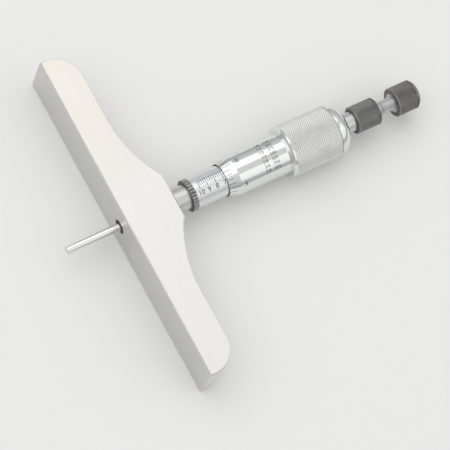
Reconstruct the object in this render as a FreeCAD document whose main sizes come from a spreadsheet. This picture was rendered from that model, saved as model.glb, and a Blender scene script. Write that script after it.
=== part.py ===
"""Depth micrometer with a 0-1 in measuring rod, ratchet stop and lock ring.

The object lies along X: the measuring face of the base is the plane X = 0, the spindle axis is the
X axis, and the cap is at the +X end. Y runs along the base and Z is square to its broad faces.
Lengths are in millimetres. The pieces that travel with the screw are drawn in the carriage's own
frame, whose origin is the thimble's front edge, and their Placement carries them to the reading.
"""

import FreeCAD, Part
import Sketcher
import math
import os

INCH = 25.4

# Each size: its alias, its value, and what it sets.
SIZES = [
    # The reading and the screw.
    ("reading", 27 * 0.025 * INCH, "rod projection below the measuring face as drawn"),
    ("travel", INCH, "full travel of the screw"),
    ("zero_station", 50.3, "thimble edge to measuring face at a reading of nought"),
    ("screw_diameter", 5.0, "outside of the 40 per inch thread"),
    ("running_gap", 0.03, "radial clearance of shafts and threads that turn"),
    ("screw_lead_in", 0.8, "screw's front end ahead of the thimble's edge"),
    ("overrun", 1.0, "how far a cutting outline runs past the piece"),
    # Base.
    ("base_length", 4 * INCH, "length of the measuring face"),
    ("base_thickness", 0.625 * INCH, "across the broad faces"),
    ("arm_height", 9.6, "height of the arms over the measuring face"),
    ("arm_corner_radius", 8.0, "rounding of the arm's top outer corner"),
    ("boss_height", 15.9, "height of the boss over the measuring face"),
    ("boss_half_width", 7.0, "half of the boss's flat top"),
    ("boss_chamfer", 0.8, "bevel at the boss's shoulder"),
    ("blend_start", 28.0, "where the arm's top starts to rise to the boss"),
    ("blend_radius", 40.0, "hollow curve from the arm to the boss"),
    ("base_edge_break", 0.35, "bevel round the broad faces"),
    ("rod_hole_diameter", 4.4, "clearance hole at the measuring face"),
    ("stem_seat_height", 4.0, "bottom of the barrel's seat over the measuring face"),
    # Barrel.
    ("stem_diameter", 7.4, "barrel's stem, pressed into the boss"),
    ("barrel_diameter", 6.8, "barrel under the lock ring and sleeve"),
    ("barrel_relief", 5.5, "bore ahead of the nut thread"),
    ("stem_station", 21.6, "stem's shoulder, against which the lock ring turns"),
    ("barrel_end", 62.0, "rear end of the barrel"),
    ("nut_length", 17.0, "length of the nut thread in the barrel"),
    ("slit_length", 7.5, "length of the slits that let the nut thread close"),
    ("slit_width", 0.5, "width of the slits"),
    ("slit_count", 3, "number of slits"),
    # Guide bush, lock ring and lock pin.
    ("bush_start", 14.0, "front end of the guide bush"),
    ("bush_end", 23.4, "rear end of the guide bush"),
    ("bush_slit", 0.4, "width of the guide bush's slit"),
    ("lock_ring_width", 1.6, "width of the lock ring"),
    ("lock_ring_diameter", 9.6, "outside of the lock ring"),
    ("lock_ring_gap", 0.05, "play at the lock ring's bore and sides"),
    ("cam_radius", 4.0, "radius of the cam track in the lock ring"),
    ("cam_offset", 0.233, "how far the cam track is off centre"),
    ("cam_width", 0.9, "width of the cam track"),
    ("pin_diameter", 0.8, "lock pin"),
    ("pin_gap", 0.06, "lock pin to cam track when free"),
    ("pin_stroke", 0.15, "lock pin to guide bush when free"),
    # Graduated sleeve.
    ("sleeve_diameter", 9.3, "outside of the graduated sleeve"),
    ("sleeve_end", 56.5, "rear end of the sleeve"),
    ("scale_turn", 20.0, "turn of the datum line from the broad face, in degrees"),
    ("mark_depth", 0.1, "depth of every graduation"),
    ("mark_width", 0.16, "width of every graduation"),
    ("minor_mark_angle", 18.0, "sweep of a short sleeve mark, in degrees"),
    ("major_mark_angle", 30.0, "sweep of a long sleeve mark, in degrees"),
    ("scale_marks", 41, "short marks, one each 0.025 in"),
    ("scale_numbers", 11, "long marks, one each 0.1 in"),
    ("spanner_hole", 1.2, "hole for the spanner that turns the sleeve"),
    ("spanner_hole_inset", 2.4, "spanner hole behind the sleeve's front edge"),
    # Adjusting nut.
    ("adjusting_nut_diameter", 9.0, "outside of the adjusting nut"),
    ("adjusting_nut_length", 3.2, "length of the adjusting nut"),
    ("adjusting_nut_setback", 0.6, "adjusting nut to the barrel's rear end"),
    ("adjusting_slot", 1.2, "width of the spanner slots"),
    ("adjusting_slot_depth", 1.1, "depth of the spanner slots"),
    ("adjusting_slot_count", 4, "number of spanner slots"),
    # Thimble, in the carriage's frame.
    ("thimble_gap", 0.3, "radial clearance of the thimble over the sleeve"),
    ("thimble_length", 40.8, "front edge to rear face"),
    ("thimble_edge_wall", 0.3, "wall at the thimble's front edge"),
    ("bevel_length", 3.5, "graduated bevel"),
    ("thimble_diameter", 12.3, "outside of the smooth part"),
    ("grip_length", 20.6, "length of the knurled part"),
    ("grip_diameter", 15.5, "outside of the knurled part"),
    ("grip_front_bevel", 0.5, "bevel at the grip's front shoulder"),
    ("grip_end_radius", 3.8, "rounding of the grip's rear shoulder"),
    ("thimble_end_wall", 2.2, "thimble's rear wall"),
    ("thimble_marks", 25, "graduations round the bevel"),
    ("bevel_mark_share", 0.55, "share of the bevel that a short graduation covers"),
    ("thimble_numbers", 5, "long graduations round the bevel"),
    ("bevel_number_share", 0.85, "share of the bevel that a long graduation covers"),
    # Screw tail and ratchet.
    ("taper_length", 2.4, "taper on which the thimble seats"),
    ("taper_small_diameter", 4.4, "small end of the taper"),
    ("tail_diameter", 3.8, "tube behind the thimble"),
    ("hub_diameter", 6.1, "outside of the neck between thimble and ratchet"),
    ("hub_length", 3.5, "length of that neck"),
    ("ratchet_length", 8.1, "knurled ratchet barrel"),
    ("ratchet_diameter", 8.3, "outside of the ratchet barrel"),
    ("ratchet_bore", 6.4, "inside of the ratchet barrel"),
    ("ratchet_end_wall", 1.0, "ratchet barrel's rear wall"),
    ("ratchet_edge_break", 0.35, "bevel on the ratchet barrel's ends"),
    ("hub_inset", 0.3, "toothed rim behind the ratchet barrel's front edge"),
    ("hub_rim", 1.6, "thickness of the toothed rim"),
    ("tooth_count", 12, "ratchet teeth"),
    ("tooth_height", 0.5, "height of a ratchet tooth"),
    ("tooth_width", 1.1, "width of a tooth space"),
    ("tooth_gap", 0.05, "play between the teeth as drawn"),
    ("clutch_thickness", 1.4, "thickness of the sliding clutch ring"),
    ("clutch_gap", 0.06, "radial clearance of the clutch ring, inside and outside"),
    ("key_width", 1.4, "width of the clutch ring's keys"),
    ("key_height", 0.35, "height of the clutch ring's keys"),
    ("spring_wire", 0.4, "side of the ratchet spring's square wire"),
    ("spring_turns", 2.5, "turns of the ratchet spring"),
    ("snap_ring_width", 0.5, "thickness of the retaining ring behind the ratchet"),
    ("snap_ring_diameter", 5.2, "outside of the retaining ring"),
    ("snap_groove_depth", 0.3, "groove for the retaining ring"),
    ("snap_ring_opening", 1.6, "gap of the retaining ring"),
    # Cap and rod.
    ("cap_station", 58.2, "front edge of the cap in the carriage's frame"),
    ("cap_length", 7.7, "length of the cap"),
    ("cap_diameter", 8.8, "outside of the cap"),
    ("cap_rear_bevel", 0.8, "bevel on the cap's rear edge"),
    ("cap_edge_break", 0.3, "bevel on the cap's front edge"),
    ("cap_thread_diameter", 5.8, "thread of the cap on the rod seat"),
    ("cap_thread_length", 2.0, "length of that thread"),
    ("cap_end_wall", 0.9, "cap's rear wall"),
    ("pad_thickness", 0.6, "thrust pad in the cap"),
    ("knurl_depth", 0.2, "depth of the straight knurl"),
    ("knurl_slope", 1.0, "half width of a knurl groove for each unit of its depth"),
    ("knurl_count", 30, "ribs round the ratchet barrel, the cap and the lock ring"),
    ("knurl_margin", 0.5, "plain band at each end of the ratchet barrel's and the cap's knurl"),
    ("rod_diameter", 0.09375 * INCH, "measuring rod"),
    ("rod_guide_gap", 0.08, "radial clearance of the rod in the screw"),
    ("rod_tip_bevel", 0.25, "bevel at the rod's tip"),
    ("rod_nut_diameter", 4.2, "outside of the adjusting nut on the rod"),
    ("rod_nut_length", 2.2, "length of the adjusting nut on the rod"),
    ("jam_nut_diameter", 5.0, "outside of the jam nut on the rod"),
    ("jam_nut_length", 1.9, "length of the jam nut on the rod"),
    ("rod_nut_flats", 3.6, "across the flats of both rod nuts"),
    ("rod_end_standout", 0.1, "rod's end beyond the jam nut"),
]

# Points nearer than this are one point.
NEAR = 1e-4
# A cut that takes less than this away has missed.
LEAST_CUT = 1e-6

doc = FreeCAD.newDocument("DepthMicrometer")
sheet = doc.addObject("Spreadsheet::Sheet", "Sizes")
sheet.Label = "Sizes"


class Size:
    """A length with the sheet expression that gives it, so that sums keep their link to the sheet."""

    def __init__(self, text, value):
        self.text = text
        self.value = value

    def join(self, sign, other, value):
        return Size("(%s %s %s)" % (self.text, sign, size(other).text), value)

    def __add__(self, other):
        return self.join("+", other, self.value + size(other).value)

    def __sub__(self, other):
        return self.join("-", other, self.value - size(other).value)

    def __mul__(self, other):
        return self.join("*", other, self.value * size(other).value)

    def __truediv__(self, other):
        return self.join("/", other, self.value / size(other).value)

    def __neg__(self):
        return Size("(0 - %s)" % self.text, -self.value)


def size(number):
    """A plain number as a Size."""
    return number if isinstance(number, Size) else Size(repr(float(number)), float(number))


class Sheet:
    """The driving sizes, read as attributes: s.reading is the Size of the cell called reading."""


def fill_sheet():
    """Writes the sizes to the sheet and gives them back as attributes."""
    sizes = Sheet()
    for row, (alias, value, note) in enumerate(SIZES, start=1):
        sheet.set("A%d" % row, note)
        sheet.set("B%d" % row, repr(value))
        sheet.setAlias("B%d" % row, alias)
        setattr(sizes, alias, Size("Sizes.%s" % alias, value))
    return sizes


s = fill_sheet()
doc.recompute()


# ---------------------------------------------------------------- drawing helpers

def bind(thing, path, length):
    """Ties a property to the sheet."""
    thing.setExpression(path, length.text)


def new_body(name, label, carriage=False):
    """A body with its own label; a piece of the carriage is placed at the reading."""
    body = doc.addObject("PartDesign::Body", name)
    body.Label = label
    if carriage:
        offset = s.zero_station - s.reading
        body.Placement = FreeCAD.Placement(FreeCAD.Vector(offset.value, 0, 0), FreeCAD.Rotation())
        bind(body, "Placement.Base.x", offset)
    return body


def origin_part(body, role):
    """An origin plane or axis of the body, by its role."""
    return [part for part in body.Origin.OriginFeatures if part.Role == role][0]


def new_sketch(body, name, plane="XY_Plane", lift=None):
    """A sketch on an origin plane, lifted along the plane's normal."""
    sketch = body.newObject("Sketcher::SketchObject", name)
    sketch.AttachmentSupport = [(origin_part(body, plane), "")]
    sketch.MapMode = "FlatFace"
    if lift is not None:
        bind(sketch, "AttachmentOffset.Base.z", size(lift))
    return sketch


def fix_point(sketch, edge, end, across, up):
    """Fixes one end of an edge by its two coordinates; a coordinate of None stays free."""
    for kind, axis, length in (("DistanceX", -2, across), ("DistanceY", -1, up)):
        if length is None:
            continue
        length = size(length)
        if length.value == 0 and "Sizes" not in length.text:
            sketch.addConstraint(Sketcher.Constraint("PointOnObject", edge, end, axis))
            continue
        index = sketch.addConstraint(Sketcher.Constraint(kind, -1, 1, edge, end, length.value))
        bind(sketch, "Constraints[%d]" % index, length)


def draw_outline(sketch, corners):
    """A closed outline of straight edges through the corners."""
    first = sketch.GeometryCount
    ends = [FreeCAD.Vector(size(x).value, size(y).value, 0) for x, y in corners]
    count = len(corners)
    for i in range(count):
        sketch.addGeometry(Part.LineSegment(ends[i], ends[(i + 1) % count]), False)
    for i in range(count):
        after = first + (i + 1) % count
        sketch.addConstraint(Sketcher.Constraint("Coincident", first + i, 2, after, 1))
    for i, (x, y) in enumerate(corners):
        fix_point(sketch, first + i, 1, x, y)


def draw_circle(sketch, across, up, radius):
    """A circle by its centre and radius."""
    centre = FreeCAD.Vector(size(across).value, size(up).value, 0)
    circle = Part.Circle(centre, FreeCAD.Vector(0, 0, 1), size(radius).value)
    edge = sketch.addGeometry(circle, False)
    fix_point(sketch, edge, 3, across, up)
    index = sketch.addConstraint(Sketcher.Constraint("Radius", edge, size(radius).value))
    bind(sketch, "Constraints[%d]" % index, size(radius))


def add_feature(body, kind, name, sketch):
    """A PartDesign feature on a sketch."""
    feature = body.newObject("PartDesign::" + kind, name)
    feature.Profile = sketch
    sketch.Visibility = False
    return feature


def checked_cut(body, feature, before):
    """Makes sure that a cut took material away."""
    doc.recompute()
    if feature.Shape.Volume > before - LEAST_CUT:
        raise RuntimeError("%s cuts nothing" % feature.Name)
    return feature


def turn(body, name, corners):
    """A solid turned about the X axis from an outline of (station, radius) corners."""
    sketch = new_sketch(body, name + "_profile")
    draw_outline(sketch, corners)
    feature = add_feature(body, "Revolution", name, sketch)
    feature.ReferenceAxis = (sketch, ["H_Axis"])
    feature.Angle = 360
    doc.recompute()
    return feature


def tube(body, name, start, end, outer, inner):
    """A plain turned tube by its two stations and two radii."""
    corners = [(start, inner), (end, inner), (end, outer), (start, outer)]
    return turn(body, name, corners)


def turn_away(body, name, corners, plane="XY_Plane", angle=None, flip=False):
    """A groove turned about the X axis, all round or through an angle."""
    before = body.Shape.Volume
    sketch = new_sketch(body, name + "_profile", plane)
    draw_outline(sketch, corners)
    feature = add_feature(body, "Groove", name, sketch)
    feature.ReferenceAxis = (sketch, ["H_Axis"])
    if angle is None:
        feature.Angle = 360
    else:
        bind(feature, "Angle", angle)
        feature.Reversed = flip
    return checked_cut(body, feature, before)


def cut_along(body, name, plane, lift, corners, length, reverse=True, both_ways=False):
    """A pocket of the outline on a plane; reverse cuts along the plane's normal."""
    before = body.Shape.Volume
    sketch = new_sketch(body, name + "_outline", plane, lift)
    draw_outline(sketch, corners)
    feature = add_feature(body, "Pocket", name, sketch)
    bind(feature, "Length", size(length))
    feature.Reversed = reverse
    feature.Midplane = both_ways
    return checked_cut(body, feature, before)


def repeat_round(body, feature, name, count):
    """The feature repeated evenly round the X axis."""
    pattern = body.newObject("PartDesign::PolarPattern", name)
    pattern.Originals = [feature]
    pattern.Axis = (origin_part(body, "X_Axis"), [""])
    pattern.Angle = 360
    bind(pattern, "Occurrences", size(count))
    body.Tip = pattern
    doc.recompute()
    return pattern


def repeat_along(body, feature, name, pitch, count):
    """The feature repeated along X at an even pitch."""
    pattern = body.newObject("PartDesign::LinearPattern", name)
    pattern.Originals = [feature]
    pattern.Direction = (origin_part(body, "X_Axis"), [""])
    bind(pattern, "Length", size(pitch) * (size(count) - 1))
    bind(pattern, "Occurrences", size(count))
    body.Tip = pattern
    doc.recompute()
    return pattern


def circle_edges(body, station, radius):
    """Names of the round edges at a station with a radius, in the body's own frame."""
    names = []
    shape = body.Tip.Shape
    for index, edge in enumerate(shape.Edges, start=1):
        if not isinstance(edge.Curve, Part.Circle):
            continue
        at_station = abs(edge.Curve.Center.x - station) < NEAR
        if at_station and abs(edge.Curve.Radius - radius) < NEAR:
            names.append("Edge%d" % index)
    return names


def dress(body, kind, name, edges, amount):
    """A fillet or chamfer on the named edges of the body's tip."""
    feature = body.newObject("PartDesign::" + kind, name)
    feature.Base = (body.Group[body.Group.index(feature) - 1], edges)
    bind(feature, "Radius" if kind == "Fillet" else "Size", amount)
    doc.recompute()
    return feature


def knurl(body, name, start, length, radius):
    """Straight V grooves round a turned piece."""
    # The V's outline runs on as far above the surface as it goes below.
    top, bottom = radius + s.knurl_depth, radius - s.knurl_depth
    spread = s.knurl_depth * s.knurl_slope * 2
    corners = [(-spread, top), (0, bottom), (spread, top)]
    groove = cut_along(body, name + "_groove", "YZ_Plane", start, corners, length)
    return repeat_round(body, groove, name, s.knurl_count)


# ---------------------------------------------------------------- base

def make_base():
    """The flat base: two arms that rise in a hollow curve to a boss, with a stepped bore."""
    body = new_body("Base", "base")
    sketch = new_sketch(body, "Base_outline")
    half = s.base_length / 2
    shoulder = s.boss_half_width + s.boss_chamfer
    rise = math.sqrt(s.blend_radius.value ** 2 - (s.blend_start.value - shoulder.value) ** 2)
    shoulder_height = s.arm_height.value + s.blend_radius.value - rise
    centre = s.arm_height + s.blend_radius
    # Corners in order, as (height, place along the base, height is free).
    corners = [
        (0, -half, False),
        (0, half, False),
        (s.arm_height, half, False),
        (s.arm_height, s.blend_start, False),
        (shoulder_height, shoulder, True),
        (s.boss_height, s.boss_half_width, False),
        (s.boss_height, -s.boss_half_width, False),
        (shoulder_height, -shoulder, True),
        (s.arm_height, -s.blend_start, False),
        (s.arm_height, -half, False),
    ]
    points = [FreeCAD.Vector(size(x).value, size(y).value, 0) for x, y, free in corners]
    curves = {3: s.blend_start, 7: -s.blend_start}
    count = len(corners)
    for i in range(count):
        start, end = points[i], points[(i + 1) % count]
        if i in curves:
            middle = FreeCAD.Vector(centre.value, curves[i].value, 0)
            circle = Part.Circle(middle, FreeCAD.Vector(0, 0, 1), s.blend_radius.value)
            angles = [math.atan2(p.y - middle.y, p.x - middle.x) % (2 * math.pi) for p in (start, end)]
            sketch.addGeometry(Part.ArcOfCircle(circle, angles[0], angles[1]), False)
        else:
            sketch.addGeometry(Part.LineSegment(start, end), False)
    for i in range(count):
        sketch.addConstraint(Sketcher.Constraint("Coincident", i, 2, (i + 1) % count, 1))
    for i, (x, y, free) in enumerate(corners):
        fix_point(sketch, i, 1, None if free else x, y)
    for i, along in curves.items():
        fix_point(sketch, i, 3, centre, along)
    pad = add_feature(body, "Pad", "Base_plate", sketch)
    bind(pad, "Length", s.base_thickness)
    pad.Midplane = True
    doc.recompute()
    corner_edges = []
    for index, edge in enumerate(pad.Shape.Edges, start=1):
        middle = edge.CenterOfMass
        at_end = abs(abs(middle.y) - half.value) < NEAR
        if at_end and abs(middle.x - s.arm_height.value) < NEAR and abs(middle.z) < NEAR:
            corner_edges.append("Edge%d" % index)
    dress(body, "Fillet", "Arm_corners", corner_edges, s.arm_corner_radius)
    rim_edges = []
    half_thickness = s.base_thickness.value / 2
    for index, edge in enumerate(body.Tip.Shape.Edges, start=1):
        if abs(abs(edge.BoundBox.ZMin) - half_thickness) < NEAR and edge.BoundBox.ZLength < NEAR:
            rim_edges.append("Edge%d" % index)
    dress(body, "Chamfer", "Broad_face_edges", rim_edges, s.base_edge_break)
    hole, seat = s.rod_hole_diameter / 2, s.stem_diameter / 2
    turn_away(body, "Rod_hole", [(-s.overrun, 0), (s.stem_seat_height, 0),
                                 (s.stem_seat_height, hole), (-s.overrun, hole)])
    over = s.boss_height + s.overrun
    turn_away(body, "Stem_seat", [(s.stem_seat_height, 0), (over, 0), (over, seat),
                                  (s.stem_seat_height, seat)])
    return body


# ---------------------------------------------------------------- barrel, lock and sleeve

def make_barrel():
    """The barrel: stem in the boss, guide bush seat, relief and nut thread, slit at the rear."""
    body = new_body("Barrel", "barrel")
    stem, outer = s.stem_diameter / 2, s.barrel_diameter / 2
    hole, relief = s.rod_hole_diameter / 2, s.barrel_relief / 2
    thread = s.screw_diameter / 2 + s.running_gap
    nut_start = s.barrel_end - s.nut_length
    turn(body, "Barrel_turned", [
        (s.stem_seat_height, hole), (s.bush_end, hole), (s.bush_end, relief),
        (nut_start, relief), (nut_start, thread), (s.barrel_end, thread),
        (s.barrel_end, outer), (s.stem_station, outer), (s.stem_station, stem),
        (s.stem_seat_height, stem)])
    slit_start = s.barrel_end - s.slit_length
    half = s.slit_width / 2
    slit = cut_along(body, "Slit", "YZ_Plane", slit_start,
                     [(-half, 0), (half, 0), (half, outer + s.overrun), (-half, outer + s.overrun)],
                     s.slit_length + s.overrun)
    repeat_round(body, slit, "Slits", s.slit_count)
    before = body.Shape.Volume
    sketch = new_sketch(body, "Pin_hole_outline")
    draw_circle(sketch, lock_middle(), 0, s.pin_diameter / 2 + s.running_gap)
    pin_hole = add_feature(body, "Pocket", "Pin_hole", sketch)
    bind(pin_hole, "Length", outer + s.overrun)
    pin_hole.Reversed = True
    checked_cut(body, pin_hole, before)
    return body


def lock_middle():
    """Station of the lock ring's middle plane."""
    return s.stem_station + s.lock_ring_gap + s.lock_ring_width / 2


def make_guide_bush():
    """The slit bush that guides the rod and grips it when the lock is on."""
    body = new_body("GuideBush", "rod_guide_bush")
    outer = s.rod_hole_diameter / 2
    inner = s.rod_diameter / 2 + s.running_gap
    tube(body, "Bush", s.bush_start, s.bush_end, outer, inner)
    half = s.bush_slit / 2
    reach, length = outer + s.overrun, s.bush_end - s.bush_start
    cut_along(body, "Bush_slit", "YZ_Plane", s.bush_start,
              [(-half, -reach), (half, -reach), (half, 0), (-half, 0)], length)
    return body


def make_lock_ring():
    """The knurled lock ring, with a cam track off centre in its bore."""
    body = new_body("LockRing", "lock_ring")
    start = s.stem_station + s.lock_ring_gap
    outer = s.lock_ring_diameter / 2
    inner = s.barrel_diameter / 2 + s.lock_ring_gap
    tube(body, "Ring", start, start + s.lock_ring_width, outer, inner)
    before = body.Shape.Volume
    sketch = new_sketch(body, "Cam_outline", "YZ_Plane", lock_middle() - s.cam_width / 2)
    draw_circle(sketch, -s.cam_offset, 0, s.cam_radius)
    cam = add_feature(body, "Pocket", "Cam_track", sketch)
    bind(cam, "Length", s.cam_width)
    cam.Reversed = True
    checked_cut(body, cam, before)
    knurl(body, "Ring_knurl", start, s.lock_ring_width, outer)
    return body


def make_lock_pin():
    """The pin that the cam presses on the guide bush."""
    body = new_body("LockPin", "lock_pin")
    bottom = s.rod_hole_diameter / 2 + s.pin_stroke
    top = s.cam_radius - s.pin_gap
    sketch = new_sketch(body, "Pin_outline", "XY_Plane", bottom)
    draw_circle(sketch, lock_middle(), 0, s.pin_diameter / 2)
    pad = add_feature(body, "Pad", "Pin", sketch)
    bind(pad, "Length", top - bottom)
    doc.recompute()
    return body


def make_sleeve():
    """The graduated sleeve: a datum line with a mark each 0.025 in and a longer one each 0.1 in."""
    body = new_body("Sleeve", "graduated_sleeve")
    start = s.stem_station + s.lock_ring_width + s.lock_ring_gap * 2
    outer, inner = s.sleeve_diameter / 2, s.barrel_diameter / 2
    tube(body, "Sleeve_tube", start, s.sleeve_end, outer, inner)
    half, floor, over = s.mark_width / 2, outer - s.mark_depth, outer + s.overrun
    first = s.zero_station - s.travel
    cut_along(body, "Datum_line", "XZ_Plane", 0,
              [(first - half, floor), (s.zero_station + half, floor),
               (s.zero_station + half, over), (first - half, over)], s.mark_width, both_ways=True)
    mark = [(first - half, floor), (first + half, floor), (first + half, over), (first - half, over)]
    minor = turn_away(body, "Short_mark", mark, "XZ_Plane", s.minor_mark_angle)
    repeat_along(body, minor, "Short_marks", s.travel / (s.scale_marks - 1), s.scale_marks)
    major = turn_away(body, "Long_mark", mark, "XZ_Plane", s.major_mark_angle)
    repeat_along(body, major, "Long_marks", s.travel / (s.scale_numbers - 1), s.scale_numbers)
    before = body.Shape.Volume
    sketch = new_sketch(body, "Spanner_hole_outline")
    draw_circle(sketch, start + s.spanner_hole_inset, 0, s.spanner_hole / 2)
    hole = add_feature(body, "Pocket", "Spanner_hole", sketch)
    bind(hole, "Length", outer + s.overrun)
    checked_cut(body, hole, before)
    turn_to_datum(body)
    return body


def turn_to_datum(body):
    """Turns a graduated piece about the axis, so that its first mark lies on the datum line."""
    turned = FreeCAD.Rotation(FreeCAD.Vector(1, 0, 0), -s.scale_turn.value)
    body.Placement = FreeCAD.Placement(body.Placement.Base, turned)
    bind(body, "Placement.Rotation.Angle", -s.scale_turn)


def make_adjusting_nut():
    """The nut that closes the slit end of the barrel on the screw, with spanner slots."""
    body = new_body("AdjustingNut", "adjusting_nut")
    end = s.barrel_end - s.adjusting_nut_setback
    start = end - s.adjusting_nut_length
    outer, inner = s.adjusting_nut_diameter / 2, s.barrel_diameter / 2
    tube(body, "Nut_ring", start, end, outer, inner)
    half, low, high = s.adjusting_slot / 2, inner - s.overrun, outer + s.overrun
    slot = cut_along(body, "Spanner_slot", "YZ_Plane", end - s.adjusting_slot_depth,
                     [(-half, low), (half, low), (half, high), (-half, high)],
                     s.adjusting_slot_depth + s.overrun)
    repeat_round(body, slot, "Spanner_slots", s.adjusting_slot_count)
    return body


# ---------------------------------------------------------------- carriage: screw and thimble

def tail_end():
    """Rear end of the screw's tail, where the rod's nut seats."""
    return s.cap_station + s.cap_thread_length


def ratchet_start():
    """Front edge of the ratchet barrel in the carriage's frame."""
    return s.thimble_length + s.hub_length


def ratchet_end():
    """Rear end of the ratchet barrel in the carriage's frame."""
    return ratchet_start() + s.ratchet_length


def snap_station():
    """Front face of the retaining ring behind the ratchet."""
    return ratchet_end() + s.running_gap


def make_screw():
    """The hollow screw: thread, taper for the thimble, and the tail tube that carries the rest."""
    body = new_body("Screw", "micrometer_screw", carriage=True)
    bore = s.rod_diameter / 2 + s.rod_guide_gap
    thread, small, tail = s.screw_diameter / 2, s.taper_small_diameter / 2, s.tail_diameter / 2
    taper_start = s.thimble_length - s.taper_length
    turn(body, "Screw_turned", [
        (-s.screw_lead_in, bore), (tail_end(), bore), (tail_end(), tail), (s.thimble_length, tail),
        (s.thimble_length, small), (taper_start, thread), (-s.screw_lead_in, thread)])
    floor, over = tail - s.snap_groove_depth, tail + s.overrun
    front, back = snap_station(), snap_station() + s.snap_ring_width
    turn_away(body, "Snap_groove", [(front, floor), (back, floor), (back, over), (front, over)])
    return body


def make_thimble():
    """The stepped thimble: graduated bevel, smooth front, grip with a round rear shoulder."""
    body = new_body("Thimble", "thimble", carriage=True)
    bore = s.sleeve_diameter / 2 + s.thimble_gap
    lip = bore + s.thimble_edge_wall
    front, grip = s.thimble_diameter / 2, s.grip_diameter / 2
    grip_start = s.thimble_length - s.grip_length
    wall_start = s.thimble_length - s.thimble_end_wall
    taper_start = s.thimble_length - s.taper_length
    # The taper bore is the screw's taper, met along the rear wall.
    share = s.thimble_end_wall / s.taper_length
    thread, small = s.screw_diameter / 2, s.taper_small_diameter / 2
    seat = small + (thread - small) * share
    turn(body, "Thimble_turned", [
        (0, bore), (wall_start, bore), (wall_start, seat), (s.thimble_length, small),
        (s.thimble_length, grip), (grip_start + s.grip_front_bevel, grip),
        (grip_start, grip - s.grip_front_bevel), (grip_start, front), (s.bevel_length, front), (0, lip)])
    rear = circle_edges(body, s.thimble_length.value, grip.value)
    dress(body, "Fillet", "Rear_shoulder", rear, s.grip_end_radius)
    cut_bevel_marks(body, "Short_mark", lip, front, s.bevel_mark_share, s.thimble_marks)
    cut_bevel_marks(body, "Long_mark", lip, front, s.bevel_number_share, s.thimble_numbers)
    turn_to_datum(body)
    return body


def cut_bevel_marks(body, name, lip, front, share, count):
    """Graduations round the thimble's bevel, as deep at every station."""
    slope = (front - lip) / s.bevel_length
    ahead, reach = -s.overrun, s.bevel_length * share
    low, high = (lip + slope * station - s.mark_depth for station in (ahead, reach))
    over = high + s.overrun
    mark = cut_along(body, name, "XZ_Plane", 0, [(ahead, low), (reach, high), (reach, over), (ahead, over)],
                     s.mark_width, both_ways=True)
    repeat_round(body, mark, name + "s", count)


# ---------------------------------------------------------------- carriage: ratchet stop

def make_hub():
    """The ratchet hub: neck that holds the thimble on its taper, and the toothed rim."""
    body = new_body("RatchetHub", "ratchet_hub", carriage=True)
    neck, bore = s.hub_diameter / 2, s.tail_diameter / 2
    rim = s.ratchet_bore / 2 - s.running_gap
    rim_start = ratchet_start() + s.hub_inset
    rim_end = rim_start + s.hub_rim
    turn(body, "Hub_turned", [
        (s.thimble_length, bore), (rim_end, bore), (rim_end, rim), (rim_start, rim),
        (rim_start, neck), (s.thimble_length, neck)])
    half, over = s.tooth_width / 2, rim_end + s.overrun
    space = cut_along(body, "Tooth_space", "XY_Plane", 0,
                      [(rim_end - s.tooth_height, -half), (over, -half), (over, half), (rim_end, half)],
                      rim + s.overrun)
    repeat_round(body, space, "Tooth_spaces", s.tooth_count)
    return body


def clutch_front():
    """Front face of the clutch ring's body: the hub's rear face with the play of the teeth."""
    return ratchet_start() + s.hub_inset + s.hub_rim + s.tooth_gap


def make_clutch():
    """The sliding clutch ring: saw teeth forward, two keys that run in the ratchet barrel."""
    body = new_body("RatchetClutch", "ratchet_clutch", carriage=True)
    outer = s.ratchet_bore / 2 - s.clutch_gap
    inner = s.tail_diameter / 2 + s.clutch_gap
    front = clutch_front()
    back = front + s.clutch_thickness
    tube(body, "Clutch_ring", front, back, outer, inner)
    # A tooth is the hub's tooth space, drawn in by the play on every side.
    half = s.tooth_width / 2 - s.tooth_gap
    depth = s.tooth_height - s.tooth_gap * 2
    low, high = inner + s.tooth_gap, outer - s.tooth_gap
    sketch = new_sketch(body, "Tooth_outline", "XY_Plane", low)
    draw_outline(sketch, [(front - depth, -half), (front + s.tooth_height, -half),
                          (front + s.tooth_height, half), (front, half)])
    tooth = add_feature(body, "Pad", "Tooth", sketch)
    bind(tooth, "Length", high - low)
    doc.recompute()
    repeat_round(body, tooth, "Teeth", s.tooth_count)
    half_key = s.key_width / 2
    root, reach = outer - s.key_height, outer + s.key_height
    sketch = new_sketch(body, "Key_outline", "YZ_Plane", front)
    for side in (1, -1):
        draw_outline(sketch, [(root * side, -half_key), (reach * side, -half_key),
                              (reach * side, half_key), (root * side, half_key)])
    keys = add_feature(body, "Pad", "Keys", sketch)
    bind(keys, "Length", s.clutch_thickness)
    doc.recompute()
    body.Tip = keys
    return body


def make_ratchet_barrel():
    """The knurled ratchet barrel, open in front, with keyways for the clutch ring."""
    body = new_body("RatchetBarrel", "ratchet_barrel", carriage=True)
    outer, bore = s.ratchet_diameter / 2, s.ratchet_bore / 2
    hole = s.tail_diameter / 2 + s.running_gap
    start, end = ratchet_start(), ratchet_end()
    wall = end - s.ratchet_end_wall
    breaks = s.ratchet_edge_break
    turn(body, "Ratchet_turned", [
        (start, bore), (wall, bore), (wall, hole), (end, hole), (end, outer - breaks),
        (end - breaks, outer), (start + breaks, outer), (start, outer - breaks)])
    half = s.key_width / 2 + s.tooth_gap
    reach = bore + s.key_height
    keyway_start = clutch_front() - s.tooth_gap
    length = wall - keyway_start
    cut_along(body, "Keyways", "YZ_Plane", keyway_start,
              [(-reach, -half), (reach, -half), (reach, half), (-reach, half)], length)
    knurl(body, "Ratchet_knurl", start + s.knurl_margin, s.ratchet_length - s.knurl_margin * 2, outer)
    return body


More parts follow.
